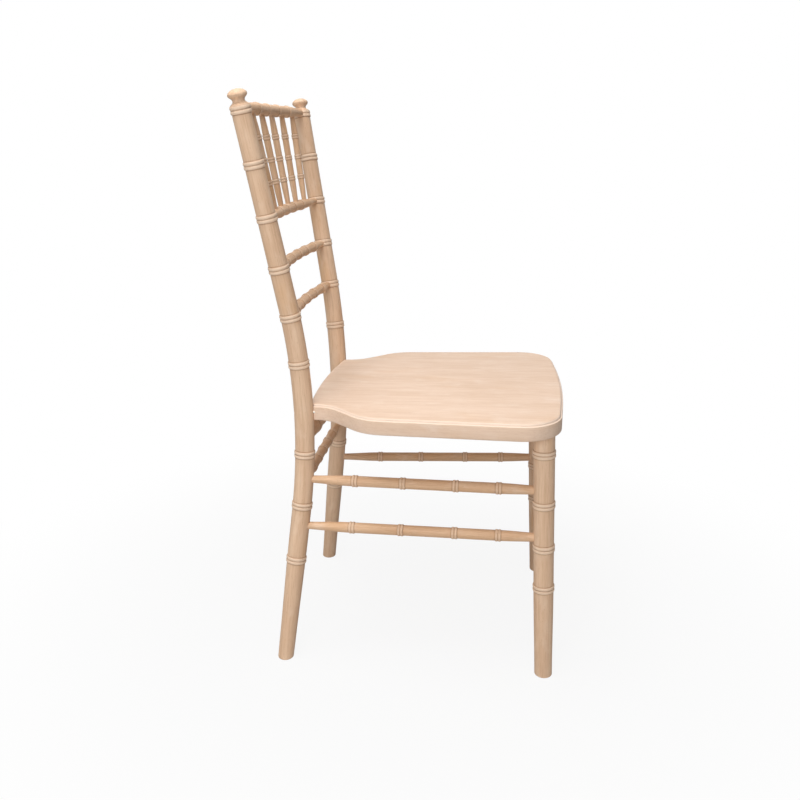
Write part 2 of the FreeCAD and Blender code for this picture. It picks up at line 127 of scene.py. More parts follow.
turned = dict(
    step=0.0005,          # spacing of sections at the rings, foot and finial
    plainEvery=10,        # elsewhere one section in ten is kept
    ringMargin=0.0022,    # close sections reach this far past a ring
    footMargin=1.3,       # and this many times the foot's round and the finial's length
    finialMargin=1.02,
    endMargin=0.0000001,  # the two end sections always stay
    grooveWidth=0.0007,
    footBlend=0.03,       # length over which a tilted foot is turned level
    # finial outline: share of its length, share of its radius
    finialOutline=(
        (0.0, 0.985), (0.035, 0.93), (0.10, 0.80), (0.19, 0.655), (0.28, 0.625), (0.36, 0.67),
        (0.46, 0.82), (0.53, 0.93), (0.60, 0.99), (0.66, 1.0), (0.74, 0.955), (0.82, 0.85),
        (0.90, 0.67), (0.96, 0.44), (0.99, 0.22), (1.0, 0.02),
    ),
)


def makeTurnedTree():
    tree = bpy.data.node_groups.new("turnedStock", "GeometryNodeTree")
    tree.interface.new_socket("Line", in_out="INPUT", socket_type="NodeSocketGeometry")
    for name, kind in turnedInputs:
        tree.interface.new_socket(name, in_out="INPUT", socket_type=kind)
    tree.interface.new_socket("Turned", in_out="OUTPUT", socket_type="NodeSocketGeometry")
    given = addNode(tree, "NodeGroupInput").outputs
    calc = lambda *parts: math3(tree, *parts)

    isRing = addNode(tree, "GeometryNodeInputNamedAttribute", {"Name": "ring"}, data_type="BOOLEAN")
    ringPoints = addNode(
        tree, "GeometryNodeMeshToPoints", {"Mesh": given["Line"], "Selection": isRing.outputs[0]}
    )
    curve = addNode(tree, "GeometryNodeMeshToCurve", {"Mesh": given["Line"]})
    fine = addNode(tree, "GeometryNodeResampleCurve", {"Curve": curve.outputs[0]}, mode="LENGTH")
    feed(tree, fine.inputs["Length"], turned["step"])

    # where each section lies: along the line, and how far from the nearest ring
    along = addNode(tree, "GeometryNodeSplineParameter").outputs["Length"]
    total = addNode(tree, "GeometryNodeSplineLength").outputs["Length"]
    nearest = addNode(tree, "GeometryNodeProximity", target_element="POINTS")
    feed(tree, nearest.inputs[0], ringPoints.outputs[0])
    fromRing = nearest.outputs["Distance"]
    fromEnd = calc("SUBTRACT", total, along)

    # shaft with its two tapers
    first = remap(
        tree, along, 0.0, given["Start Taper"], given["Start Radius"], given["Shaft Radius"],
        "SMOOTHSTEP",
    )
    change = calc("SUBTRACT", given["End Radius"], given["Shaft Radius"])
    last = remap(tree, fromEnd, given["End Taper"], 0.0, 0.0, change, "SMOOTHSTEP")
    shaft = calc("ADD", first, last)

    # two round beads, with a fine groove beside and between them
    bead = calc("MULTIPLY", given["Ring Length"], 0.5)
    halfBead = calc("MULTIPLY", bead, 0.5)
    across = calc("DIVIDE", calc("SUBTRACT", fromRing, halfBead), halfBead)
    arch = calc("SQRT", calc("MAXIMUM", calc("SUBTRACT", 1.0, calc("MULTIPLY", across, across))))
    rise = calc("MULTIPLY", arch, given["Ring Rise"])
    toGroove = calc("DIVIDE", calc("SUBTRACT", fromRing, bead), turned["grooveWidth"])
    dip = calc("EXPONENT", calc("MULTIPLY", calc("MULTIPLY", toGroove, toGroove), -1.0))
    ringed = calc("SUBTRACT", calc("ADD", shaft, rise), calc("MULTIPLY", dip, given["Groove Depth"]))

    # rounded lower edge of a foot
    short = calc("MAXIMUM", calc("SUBTRACT", given["Foot Round"], along))
    inside = calc("MULTIPLY", given["Foot Round"], given["Foot Round"])
    rest = calc("SQRT", calc("MAXIMUM", calc("SUBTRACT", inside, calc("MULTIPLY", short, short))))
    footed = calc("SUBTRACT", ringed, calc("SUBTRACT", given["Foot Round"], rest))

    # finial on the last stretch
    share = calc("SUBTRACT", 1.0, calc("DIVIDE", fromEnd, given["Finial Length"]))
    outline = addNode(tree, "ShaderNodeFloatCurve", {"Value": share})
    points = outline.mapping.curves[0].points
    while len(points) < len(turned["finialOutline"]):
        points.new(0.5, 0.5)
    for point, spot in zip(points, turned["finialOutline"]):
        point.location = spot
    outline.mapping.update()
    onFinial = calc("LESS_THAN", fromEnd, given["Finial Length"])
    finial = calc("MULTIPLY", outline.outputs[0], given["Finial Radius"])
    swap = addNode(tree, "GeometryNodeSwitch", input_type="FLOAT")
    feed(tree, swap.inputs["Switch"], onFinial)
    feed(tree, swap.inputs["False"], footed)
    feed(tree, swap.inputs["True"], finial)
    radius = swap.outputs[0]

    # painted shade: darker colour in the groove beside and between the beads, kept as the groove
    # attribute
    centreGap = calc("DIVIDE", fromRing, turned["grooveWidth"])
    centreDip = calc("EXPONENT", calc("MULTIPLY", calc("MULTIPLY", centreGap, centreGap), -1.0))
    grooveShade = calc("MULTIPLY", calc("MAXIMUM", dip, centreDip), calc("SUBTRACT", 1.0, onFinial))

    # painted highlight on the raised beads, kept as the bead attribute
    beads = calc("MULTIPLY", arch, calc("SUBTRACT", 1.0, onFinial))
    position = addNode(tree, "GeometryNodeInputPosition").outputs[0]
    centre = addNode(tree, "ShaderNodeSeparateXYZ", {0: position})
    kept = (
        ("along", along), ("barRadius", radius), ("centreZ", centre.outputs[2]), ("groove", grooveShade),
        ("bead", beads),
    )
    stored = fine.outputs[0]
    for name, value in kept:
        step = addNode(tree, "GeometryNodeStoreNamedAttribute", {"Geometry": stored, "Name": name})
        step.data_type = "FLOAT"
        feed(tree, step.inputs["Value"], value)
        stored = step.outputs[0]

    # plain stretches keep one section in ten
    reach = calc("ADD", bead, turned["ringMargin"])
    awayFromRing = calc("GREATER_THAN", fromRing, reach)
    footReach = calc("MULTIPLY", given["Foot Round"], turned["footMargin"])
    awayFromFoot = calc("GREATER_THAN", along, footReach)
    finialReach = calc("MULTIPLY", given["Finial Length"], turned["finialMargin"])
    awayFromFinial = calc("GREATER_THAN", fromEnd, finialReach)
    number = addNode(tree, "GeometryNodeInputIndex").outputs[0]
    between = calc("GREATER_THAN", calc("MODULO", number, float(turned["plainEvery"])), 0.5)
    notEnd = calc("GREATER_THAN", calc("MULTIPLY", along, fromEnd), turned["endMargin"])
    spare = calc("MULTIPLY", calc("MULTIPLY", awayFromRing, awayFromFoot), awayFromFinial)
    spare = calc("MULTIPLY", calc("MULTIPLY", spare, between), notEnd)
    thin = addNode(tree, "GeometryNodeDeleteGeometry", {"Geometry": stored, "Selection": spare})
    thin.domain = "POINT"

    def named(name, kind="FLOAT"):
        made = addNode(tree, "GeometryNodeInputNamedAttribute", {"Name": name}, data_type=kind)
        return made.outputs[0]

    rim = addNode(tree, "GeometryNodeCurvePrimitiveCircle", {"Resolution": given["Sides"]})
    rim.inputs["Radius"].default_value = 1.0
    rimStored = addNode(
        tree, "GeometryNodeStoreNamedAttribute", {"Geometry": rim.outputs[0], "Name": "rim"}
    )
    rimStored.data_type = "FLOAT_VECTOR"
    feed(tree, rimStored.inputs["Value"], position)
    skin = addNode(
        tree, "GeometryNodeCurveToMesh",
        {"Curve": thin.outputs[0], "Profile Curve": rimStored.outputs[0], "Fill Caps": True},
    )
    feed(tree, skin.inputs["Scale"], named("barRadius"))

    # the foot is cut level with the floor
    tilt = addNode(tree, "ShaderNodeSeparateXYZ", {0: position})
    overCentre = calc("SUBTRACT", tilt.outputs[2], named("centreZ"))
    hasFoot = calc("GREATER_THAN", given["Foot Round"], 0.0)
    level = remap(tree, named("along"), 0.0, turned["footBlend"], hasFoot, 0.0, "SMOOTHSTEP")
    drop = addNode(tree, "ShaderNodeCombineXYZ")
    feed(tree, drop.inputs[2], calc("MULTIPLY", calc("MULTIPLY", overCentre, level), -1.0))
    footCut = addNode(
        tree, "GeometryNodeSetPosition", {"Geometry": skin.outputs[0], "Offset": drop.outputs[0]}
    )

    # straight coordinates inside the stock, for the grain
    split = addNode(tree, "ShaderNodeSeparateXYZ", {0: named("rim", "FLOAT_VECTOR")})
    barRadius = named("barRadius")
    inStock = addNode(tree, "ShaderNodeCombineXYZ")
    feed(tree, inStock.inputs[0], calc("MULTIPLY", split.outputs[0], barRadius))
    feed(tree, inStock.inputs[1], calc("MULTIPLY", split.outputs[1], barRadius))
    feed(tree, inStock.inputs[2], named("along"))
    moved = addNode(tree, "ShaderNodeVectorMath", {0: inStock.outputs[0]}, operation="ADD")
    feed(tree, moved.inputs[1], given["Grain Offset"])
    grained = addNode(
        tree, "GeometryNodeStoreNamedAttribute", {"Geometry": footCut.outputs[0], "Name": "grain"}
    )
    grained.data_type = "FLOAT_VECTOR"
    feed(tree, grained.inputs["Value"], moved.outputs[0])
    real = addNode(tree, "GeometryNodeRealizeInstances", {"Geometry": grained.outputs[0]})
    coated = addNode(
        tree, "GeometryNodeSetMaterial", {"Geometry": real.outputs[0], "Material": given["Finish"]}
    )
    addNode(tree, "NodeGroupOutput", {"Turned": coated.outputs[0]})
    return tree


# Centre lines

def bentLine(start, end, corner=None, radius=0.0, turnStep=0.01):
    # points along two straight runs joined by one tangent arc
    if corner is None:
        return [start, end]
    first = (corner - start).normalized()
    last = (end - corner).normalized()
    turn = first.angle(last)
    axis = first.cross(last).normalized()
    side = axis.cross(first)
    begin = corner - first * radius * math.tan(turn / 2)
    count = max(2, round(turn / turnStep))
    arc = []
    for number in range(count + 1):
        angle = turn * number / count
        arc.append(begin + first * radius * math.sin(angle) + side * radius * (1 - math.cos(angle)))
    return [start] + arc + [end]


def pointAt(line, value, axis=2):
    # where a coordinate that grows along the line reaches a value
    for a, b in zip(line, line[1:]):
        if b[axis] >= value or b is line[-1]:
            return a.lerp(b, (value - a[axis]) / (b[axis] - a[axis]))


def pointAlong(line, distance):
    for a, b in zip(line, line[1:]):
        span = (b - a).length
        if distance <= span or b is line[-1]:
            return a.lerp(b, distance / span)
        distance -= span


def lineLength(line):
    return sum((b - a).length for a, b in zip(line, line[1:]))


def mirroredLine(points):
    return [Vector((-p.x, p.y, p.z)) for p in points]


def inward(line, cutStart, cutEnd):
    # the line without a length at each end
    total = lineLength(line)
    kept = [pointAlong(line, cutStart)]
    run = 0.0
    for a, b in zip(line, line[1:]):
        run += (b - a).length
        if cutStart < run < total - cutEnd:
            kept.append(b)
    kept.append(pointAlong(line, total - cutEnd))
    return kept


# Turning one piece

grainDraw = random.Random(7)
pieces = {}


def toMesh(holder, name):
    # the evaluated shape as a plain mesh in a fresh object
    graph = bpy.context.evaluated_depsgraph_get()
    mesh = bpy.data.meshes.new_from_object(holder.evaluated_get(graph))
    mesh.name = name
    made = bpy.data.objects.new(name, mesh)
    bpy.context.scene.collection.objects.link(made)
    bpy.data.objects.remove(holder)
    return made


def finishPiece(made, node, crease=38.0):
    made.data.shade_smooth()
    made.data.set_sharp_from_angle(angle=math.radians(crease))
    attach(made, "root")
    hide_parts(node)
    pieces[node] = made


def turn(node, line, rings, sizes, finish, slot, cutter=None):
    mesh = bpy.data.meshes.new(node)
    verts = list(line) + list(rings)
    mesh.from_pydata(verts, [(n, n + 1) for n in range(len(line) - 1)], [])
    marks = mesh.attributes.new("ring", "BOOLEAN", "POINT")
    for number in range(len(verts)):
        marks.data[number].value = number >= len(line)
    holder = bpy.data.objects.new("line_" + node, mesh)
    bpy.context.scene.collection.objects.link(holder)
    lathe = holder.modifiers.new("turnedStock", "NODES")
    lathe.node_group = turnedTree
    values = dict(sizes)
    values["Grain Offset"] = [grainDraw.uniform(-0.4, 0.4) for _ in range(3)]
    values["Finish"] = finish
    for item in turnedTree.interface.items_tree:
        if item.name in values:
            lathe[item.identifier] = values[item.name]
    if cutter is not None:
        hole = holder.modifiers.new("screwHole", "BOOLEAN")
        hole.operation = "DIFFERENCE"
        hole.solver = "EXACT"
        hole.object = cutter
    finishPiece(toMesh(holder, "turned_" + node), node)


# Limewashed beech: fine grain along the stock, ray flecks, tan patches and a thin pale wash.
# Each layer has its scale across the grain, its scale along it and a shift.

grainLayers = dict(
    broad=(38.0, 5.0, 0.0), streaks=(420.0, 16.0, 3.1), fine=(1500.0, 55.0, 7.7),
    patches=(22.0, 9.0, 11.3), wash=(60.0, 26.0, 17.9), flecks=(520.0, 150.0, 5.3),
)
grainBump = dict(strength=0.16, distance=0.0006, streakShare=0.55, fineShare=0.45)
fleckShare = 0.28

def makeWood(name, tone):
    material = bpy.data.materials.new(name)
    material.use_nodes = True
    tree = material.node_tree
    tree.nodes.clear()
    calc = lambda *parts: math3(tree, *parts)
    grain = addNode(tree, "ShaderNodeAttribute", attribute_name="grain").outputs["Vector"]

    def stretched(layer):
        across, along, shift = grainLayers[layer]
        made = addNode(tree, "ShaderNodeMapping", {"Vector": grain})
        made.inputs["Scale"].default_value = (across, across, along)
        made.inputs["Location"].default_value = (shift, shift * 0.7, shift * 1.3)
        return made.outputs[0]

    def noise(layer, detail, roughness, distortion=0.0):
        made = addNode(tree, "ShaderNodeTexNoise", {"Vector": stretched(layer)})
        made.inputs["Scale"].default_value = 1.0
        made.inputs["Detail"].default_value = detail
        made.inputs["Roughness"].default_value = roughness
        made.inputs["Distortion"].default_value = distortion
        return made.outputs[0]

    def mixed(factor, a, b):
        made = addNode(tree, "ShaderNodeMix", data_type="RGBA")
        feed(tree, made.inputs[0], factor)
        feed(tree, made.inputs[6], a)
        feed(tree, made.inputs[7], b)
        return made.outputs[2]

    broad = noise("broad", 4.0, 0.6, 0.4)
    streaks = noise("streaks", 4.0, 0.62)
    fine = noise("fine", 2.0, 0.5)
    patches = noise("patches", 2.0, 0.5)
    wash = noise("wash", 3.0, 0.55)

    broadMask = remap(tree, broad, 0.32, 0.68, 0.0, 1.0, "SMOOTHSTEP")
    color = mixed(broadMask, tone["pale"], tone["mid"])
    streakMask = remap(tree, streaks, 0.44, 0.70, 0.0, tone["streak"], "SMOOTHSTEP")
    color = mixed(streakMask, color, tone["dark"])
    fineMask = remap(tree, fine, 0.50, 0.74, 0.0, tone["fine"], "SMOOTHSTEP")
    color = mixed(fineMask, color, tone["dark"])
    patchMask = remap(tree, patches, 0.57, 0.72, 0.0, tone["patch"], "SMOOTHSTEP")
    color = mixed(patchMask, color, tone["tan"])
    washMask = remap(tree, wash, 0.50, 0.78, 0.0, tone["wash"], "SMOOTHSTEP")
    color = mixed(washMask, color, tone["lime"])

    # ray flecks: short brown dashes along the grain
    cells = addNode(tree, "ShaderNodeTexVoronoi", {"Vector": stretched("flecks")})
    cells.inputs["Scale"].default_value = 1.0
    dash = remap(tree, cells.outputs["Distance"], 0.10, 0.26, 1.0, 0.0, "SMOOTHSTEP")
    chosen = addNode(tree, "ShaderNodeSeparateColor", {0: cells.outputs["Color"]}).outputs[0]
    fleck = calc("MULTIPLY", dash, calc("GREATER_THAN", chosen, 1.0 - fleckShare))
    color = mixed(calc("MULTIPLY", fleck, tone["fleck"]), color, tone["fleckColor"])

    # painted highlight: raised beads and the seat lip are made paler; painted shade: the groove of
    # each ring is made darker
    paintedHighlight = addNode(tree, "ShaderNodeAttribute", attribute_name="bead").outputs["Fac"]
    color = mixed(calc("MULTIPLY", paintedHighlight, tone["paintedHighlight"]), color, tone["lime"])
    grooveShade = addNode(tree, "ShaderNodeAttribute", attribute_name="groove").outputs["Fac"]
    color = mixed(calc("MULTIPLY", grooveShade, tone["groove"]), color, tone["fleckColor"])

    streakHeight = calc("MULTIPLY", streaks, grainBump["streakShare"])
    fineHeight = calc("MULTIPLY", fine, grainBump["fineShare"])
    bump = addNode(tree, "ShaderNodeBump", {"Height": calc("ADD", streakHeight, fineHeight)})
    bump.inputs["Strength"].default_value = grainBump["strength"]
    bump.inputs["Distance"].default_value = grainBump["distance"]
    gloss = remap(tree, streaks, 0.35, 0.70, tone["gloss"][0], tone["gloss"][1])
    shader = addNode(tree, "ShaderNodeBsdfPrincipled", {"Base Color": color, "Roughness": gloss})
    feed(tree, shader.inputs["Normal"], bump.outputs[0])
    shader.inputs["Specular IOR Level"].default_value = 0.32
    addNode(tree, "ShaderNodeOutputMaterial", {"Surface": shader.outputs[0]})
    return material


def shade(red, green, blue):
    # a colour as it is seen, 0 to 255, in the shader's linear values
    def linear(value):
        value /= 255
        return value / 12.92 if value <= 0.04045 else ((value + 0.055) / 1.055) ** 2.4
    return (linear(red), linear(green), linear(blue), 1.0)


postTone = dict(
    pale=shade(231, 198, 167), mid=shade(221, 185, 153), dark=shade(182, 138, 102),
    tan=shade(216, 171, 126), lime=shade(237, 211, 186), fleckColor=shade(138, 92, 60),
    # groove sets the painted shade in the ring groove, the next key the painted highlight on the beads
    # and the seat lip
    streak=0.30, fine=0.26, patch=0.45, wash=0.45, fleck=0.24, groove=0.55, paintedHighlight=0.75,
    gloss=(0.50, 0.62),
)
# rails, rungs and spindles: the post wood made darker and browner, painted shade for their place under
# the seat and between the posts
rungToneShaded = dict(
    postTone,
    pale=shade(229, 191, 156), mid=shade(217, 176, 139), dark=shade(172, 126, 88),
    groove=0.45, paintedHighlight=0.45,
)
seatTone = dict(
    postTone,
    pale=shade(236, 209, 187), mid=shade(228, 198, 173), lime=shade(240, 218, 200),
    dark=shade(200, 162, 130), tan=shade(224, 186, 150),
    streak=0.26, fine=0.20, patch=0.30, wash=0.50, fleck=0.16,
)


# Zinc plated steel of the seat screws

def makeSteel():
    material = bpy.data.materials.new("screwSteel")
    material.use_nodes = True
    tree = material.node_tree
    tree.nodes.clear()
    spot = addNode(tree, "ShaderNodeTexCoord").outputs["Object"]
    noise = addNode(tree, "ShaderNodeTexNoise", {"Vector": spot})
    noise.inputs["Scale"].default_value = 900.0
    noise.inputs["Detail"].default_value = 3.0
    tint = addNode(tree, "ShaderNodeMix", data_type="RGBA")
    feed(tree, tint.inputs[0], noise.outputs[0])
    tint.inputs[6].default_value = shade(196, 194, 186)
    tint.inputs[7].default_value = shade(222, 219, 206)
    rough = remap(tree, noise.outputs[0], 0.3, 0.7, 0.28, 0.42)
    bump = addNode(tree, "ShaderNodeBump", {"Height": noise.outputs[0]})
    bump.inputs["Strength"].default_value = 0.1
    bump.inputs["Distance"].default_value = 0.0002
    shader = addNode(
        tree, "ShaderNodeBsdfPrincipled", {"Base Color": tint.outputs[2], "Roughness": rough}
    )
    feed(tree, shader.inputs["Normal"], bump.outputs[0])
    shader.inputs["Metallic"].default_value = 1.0
    addNode(tree, "ShaderNodeOutputMaterial", {"Surface": shader.outputs[0]})
    return material


turnedTree = makeTurnedTree()
postWood = makeWood("postWood", postTone)
rungWoodShaded = makeWood("rungWoodShaded", rungToneShaded)
seatWood = makeWood("seatWood", seatTone)
screwSteel = makeSteel()
print("stock and finishes ready")


# Rear posts

post = dict(
    foot=place(0.1807, 0.0331, 0.0),
    bend=place(0.1318, -0.0156, 0.4285),
    top=place(0.1811, 0.06035, 0.878),
    bendRadius=0.961,
    footDia=0.0265, seatDia=0.031, topDia=0.0276,
    taperUpTo=0.220, taperDownFrom=0.442,
    rings=(0.176, 0.269, 0.356, 0.505, 0.580, 0.654, 0.729, 0.804, 0.878),
    ringLength=0.012, ringRise=0.00145, groove=0.0004,
    finialFrom=0.0060, finialTop=0.0278, finialDia=0.0280, footRound=0.002, sides=44,
)

postLine = bentLine(post["foot"], post["top"], post["bend"], post["bendRadius"])
postEnd = (postLine[-1] - postLine[-2]).normalized()

# Screws through the posts into the seat
screws = dict(
    dia=0.005, headDia=0.009, headHeight=0.0026, sink=0.0012, inwardSlope=0.15,
    holeRoom=0.0002, holeFrom=0.008, holeTo=0.030, holeSides=48,
)

# Seat board: its corners are (x, depth, radius)
seat = dict(
    top=0.442, middle=-0.210, slope=1.0, thickness=0.027,
    rearMiddle=(0.0, 0.0045, 1.050), rearCorner=(0.141, -0.013, 0.009),
    waist=(0.142, -0.044, 0.055), shoulder=(0.203, -0.108, 0.075),
    frontCorner=(0.2195, -0.401, 0.062), frontMiddle=(0.0, -0.4175, 1.500),
    lipHeight=0.004, lipInset=0.003, lipRound=0.0032, lipShift=0.0006, lipGap=0.0003,
    shoulderRound=0.0016, lowRound=0.003, edgeInset=0.0001, crease=40.0,
    notchGap=0.0003, notchFrom=0.385, notchTo=0.470, notchSides=64,
    # band of painted highlight along the lip, its depth below the top face
    lipHighlightFrom=0.0008, lipHighlightPast=0.0006,
)


def seatHeight(depth, below=0.0):
    slope = math.radians(seat["slope"])
    return seat["top"] - (depth - seat["middle"]) * math.tan(slope) - below / math.cos(slope)


def closedBar(name, stations, sides):
    # closed round bar through (centre, heading, helper, radius) stations
    shape = bmesh.new()
    loops = []
    for centre, heading, helper, radius in stations:
        sideA = heading.cross(helper).normalized()
        sideB = heading.cross(sideA)
        loop = []
        for number in range(sides):
            angle = 2 * math.pi * number / sides
            reach = sideA * math.cos(angle) + sideB * math.sin(angle)
            loop.append(shape.verts.new(centre + reach * radius))
        loops.append(loop)
    for low, high in zip(loops, loops[1:]):
        for number in range(sides):
            other = (number + 1) % sides
            shape.faces.new((low[number], low[other], high[other], high[number]))
    shape.faces.new(list(reversed(loops[0])))
    shape.faces.new(loops[-1])
    bmesh.ops.recalc_face_normals(shape, faces=shape.faces)
    mesh = bpy.data.meshes.new(name)
    shape.to_mesh(mesh)
    shape.free()
    made = bpy.data.objects.new(name, mesh)
    bpy.context.scene.collection.objects.link(made)
    return made


def screwHole(side):
    # countersink and bore in the back of a post
    bendDepth = post["bend"].y - backLine
    start = pointAt(postLine, seatHeight(bendDepth, seat["thickness"] / 2))
    rise = math.tan(math.radians(seat["slope"]))
    heading = Vector((-screws["inwardSlope"] * side, -1.0, rise)).normalized()
    start = Vector((start.x * side, start.y, start.z))
    head = -post["seatDia"] / 2 + screws["sink"]
    wide = screws["headDia"] / 2 + screws["holeRoom"]
    bore = screws["dia"] / 2 + screws["holeRoom"]
    spots = (
        (head - screws["holeFrom"], wide), (head, wide),
        (head + screws["headHeight"], bore), (screws["holeTo"], bore),
    )
    up = Vector((0, 0, 1))
    stations = [(start + heading * distance, heading, up, radius) for distance, radius in spots]
    return closedBar("screwHole", stations, screws["holeSides"])


for side, name in ((1, "left"), (-1, "right")):
    line = postLine + [postLine[-1] + postEnd * post["finialTop"]]
    rings = [pointAt(postLine, height) for height in post["rings"]]
    if side < 0:
        line, rings = mirroredLine(line), mirroredLine(rings)
    hole = screwHole(side)
    sizes = {
        "Start Radius": post["footDia"] / 2, "Shaft Radius": post["seatDia"] / 2,
        "End Radius": post["topDia"] / 2, "Start Taper": post["taperUpTo"],
        "End Taper": post["top"].z + post["finialTop"] - post["taperDownFrom"],
        "Ring Length": post["ringLength"], "Ring Rise": post["ringRise"],
        "Groove Depth": post["groove"], "Foot Round": post["footRound"],
        "Finial Length": post["finialTop"] - post["finialFrom"],
        "Finial Radius": post["finialDia"] / 2, "Sides": post["sides"],
    }
    turn("rear_post_" + name, line, rings, sizes, postWood, "post_wood", hole)
    bpy.data.objects.remove(hole)
print("rear posts turned")


# Front legs

leg = dict(
    foot=place(0.1755, -0.3985, 0.0), top=place(0.1703, -0.3793, 0.0),
    footDia=0.0286, ankleDia=0.0316, topDia=0.033,
    rings=(0.159, 0.229, 0.302, 0.385),
)
leg["top"].z = seatHeight(leg["top"].y - backLine, seat["thickness"])
legLine = [leg["foot"], leg["top"]]

for side, name in ((1, "left"), (-1, "right")):
    rings = [pointAt(legLine, height) for height in leg["rings"]]
    line = legLine
    if side < 0:
        line, rings = mirroredLine(legLine), mirroredLine(rings)
    length = lineLength(legLine)
    sizes = {
        "Start Radius": leg["footDia"] / 2, "Shaft Radius": leg["ankleDia"] / 2,
        "End Radius": leg["topDia"] / 2, "Start Taper": leg["rings"][0],
        "End Taper": length - leg["rings"][0],
        "Ring Length": post["ringLength"], "Ring Rise": post["ringRise"],
        "Groove Depth": post["groove"], "Foot Round": post["footRound"],
        "Finial Length": 0.0, "Finial Radius": 0.0, "Sides": post["sides"],
    }
    turn("front_leg_" + name, line, rings, sizes, postWood, "post_wood")
print("front legs turned")


# Rails, rungs and spindles

backRail = dict(bow=0.010, dia=0.0155, endDia=0.011, rings=(-0.096, -0.048, 0.0, 0.048, 0.096))
frontRung = dict(dia=0.0155, endDia=0.012, rings=(-0.105, -0.063, -0.021, 0.021, 0.063, 0.105))
rails = dict(
    topRail=dict(
        z=0.881, bow=0.007, dia=0.0175, endDia=0.013, rings=(-0.090, -0.030, 0.030, 0.090)
    ),
    spindleRail=dict(
        z=0.729, bow=0.009, dia=0.0155, endDia=0.011, rings=(-0.071, -0.0237, 0.0237, 0.071)
    ),
    backRailUpper=dict(backRail, z=0.654),
    backRailLower=dict(backRail, z=0.580),
    seatRail=dict(z=0.383, dia=0.0275, endDia=0.022, rings=(-0.080, -0.040, 0.0, 0.040, 0.080)),
    rearStretcher=dict(z=0.308, dia=0.0155, endDia=0.012, rings=(-0.084, -0.042, 0.0, 0.042, 0.084)),
    frontUpper=dict(frontRung, z=0.284),
    frontLower=dict(frontRung, z=0.212),
)
rung = dict(
    ringLength=0.010, ringRise=0.0012, groove=0.0003, intoPost=0.0085, bowStep=0.004, sides=36,
)
spindle = dict(
    count=5, pitchTop=0.060, pitchBottom=0.0473, dia=0.0104, endDia=0.008,
    rings=(0.30, 0.515, 0.735), ringLength=0.008, ringRise=0.0009, groove=0.0002, sides=32,
    intoRail=0.002,
)
sideRung = dict(
    dia=0.017, rearDia=0.012, frontDia=0.014, rings=(0.222, 0.425, 0.645, 0.82),
    upper=(0.313, 0.324), lower=(0.234, 0.2445),
)


def bowedLine(spot, bow, outerRing):
    left, right = spot, Vector((-spot.x, spot.y, spot.z))
    if bow == 0.0:
        return [right, left]
    cornerY = spot.y + bow / (1 - outerRing / (2 * spot.x))
    halfTurn = math.atan2(cornerY - spot.y, spot.x)
    corner = Vector((0.0, cornerY, spot.z))
    return bentLine(right, left, corner, outerRing / math.tan(halfTurn), rung["bowStep"])


def turnRung(node, line, rings, dia, startDia, endDia, cut, sizes=rung):
    # a rung between two centre lines, cut short inside the pieces that it enters
    kept = inward(line, cut, cut)
    spots = [pointAlong(line, distance) for distance in rings]
    half = sizes["ringLength"] / 2
    values = {
        "Start Radius": startDia / 2, "Shaft Radius": dia / 2, "End Radius": endDia / 2,
        "Start Taper": rings[0] - half - cut,
        "End Taper": lineLength(line) - rings[-1] - half - cut,
        "Ring Length": sizes["ringLength"], "Ring Rise": sizes["ringRise"],
        "Groove Depth": sizes["groove"], "Foot Round": 0.0,
        "Finial Length": 0.0, "Finial Radius": 0.0, "Sides": sizes["sides"],
    }
    turn(node, kept, spots, values, rungWoodShaded, "rung_wood")


def crossRail(node, rail, carrier):
    spot = pointAt(carrier, rail["z"])
    line = bowedLine(spot, rail.get("bow", 0.0), rail["rings"][-1])
    middle = lineLength(line) / 2
    rings = [middle + offset for offset in rail["rings"]]
    turnRung(node, line, rings, rail["dia"], rail["endDia"], rail["endDia"], rung["intoPost"])
    return line


topLine = crossRail("top_rail", rails["topRail"], postLine)
spindleLine = crossRail("spindle_rail", rails["spindleRail"], postLine)
crossRail("back_rail_upper", rails["backRailUpper"], postLine)
crossRail("back_rail_lower", rails["backRailLower"], postLine)
crossRail("rear_seat_rail", rails["seatRail"], postLine)
crossRail("rear_stretcher", rails["rearStretcher"], postLine)
crossRail("front_stretcher_upper", rails["frontUpper"], legLine)
crossRail("front_stretcher_lower", rails["frontLower"], legLine)

for level in ("upper", "lower"):
    rearZ, frontZ = sideRung[level]
    ends = [pointAt(postLine, rearZ), pointAt(legLine, frontZ)]
    length = lineLength(ends)
    rings = [length * share for share in sideRung["rings"]]
    for side in ("left", "right"):
        line = ends if side == "left" else mirroredLine(ends)
        turnRung(
            "side_stretcher_%s_%s" % (level, side), line, rings,
            sideRung["dia"], sideRung["rearDia"], sideRung["frontDia"], rung["intoPost"],
        )

for number in range(spindle["count"]):
    offset = number - (spindle["count"] - 1) / 2
    line = [
        pointAt(spindleLine, offset * spindle["pitchBottom"], 0),
        pointAt(topLine, offset * spindle["pitchTop"], 0),
    ]
    rings = [lineLength(line) * share for share in spindle["rings"]]
    turnRung(
        "spindle_%d" % (number + 1), line, rings,
        spindle["dia"], spindle["endDia"], spindle["endDia"], spindle["intoRail"], spindle,
    )
print("rails, rungs and spindles turned")


# Seat board

